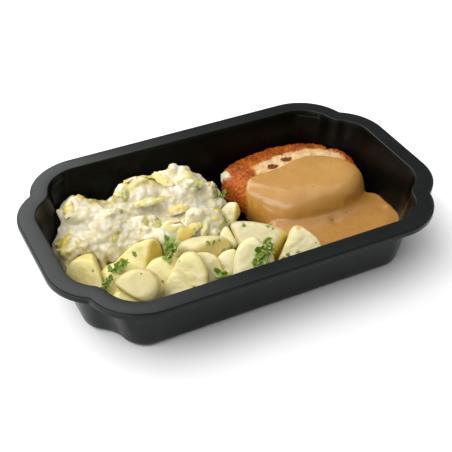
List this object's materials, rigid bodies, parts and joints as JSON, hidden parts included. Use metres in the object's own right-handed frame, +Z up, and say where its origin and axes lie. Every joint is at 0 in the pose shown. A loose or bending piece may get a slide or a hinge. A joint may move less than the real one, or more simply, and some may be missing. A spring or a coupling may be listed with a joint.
{
  "type": "filled ready-meal tray",
  "caption": "Black plastic meal tray with scalloped corners, filled with a breaded patty half under cream sauce, creamed leeks and boiled potato pieces with parsley.",
  "frame": {"origin": "centre of the tray's length and width, on the surface it stands on", "axes": "+X along the tray's length, +Y to the tray's back long side, +Z up out of the tray"},
  "size_m": [0.2288, 0.1448, 0.0395],
  "materials": {
    "tray": "black thermoformed sheet, satin",
    "patty": "fried bread crumb, golden brown, matt",
    "sauce": "smooth cream sauce, light brown, glossy",
    "leek_heap": "leek strips in thick white cream, moist",
    "potato": "boiled peeled potato, pale yellow, moist",
    "parsley": "chopped parsley leaf"
  },
  "bodies": {
    "root": {"tray": "tray", "patty": "patty", "sauce": "sauce", "leek_heap": "leek_heap", "potato_1": "potato", "potato_2": "potato", "potato_3": "potato", "potato_4": "potato", "potato_5": "potato", "potato_6": "potato", "potato_7": "potato", "potato_8": "potato", "potato_9": "potato", "potato_10": "potato", "potato_11": "potato", "potato_12": "potato", "potato_13": "potato", "potato_14": "potato", "potato_15": "potato", "parsley_1": "parsley", "parsley_2": "parsley", "parsley_3": "parsley", "parsley_4": "parsley", "parsley_5": "parsley", "parsley_6": "parsley"}
  },
  "joints": []
}
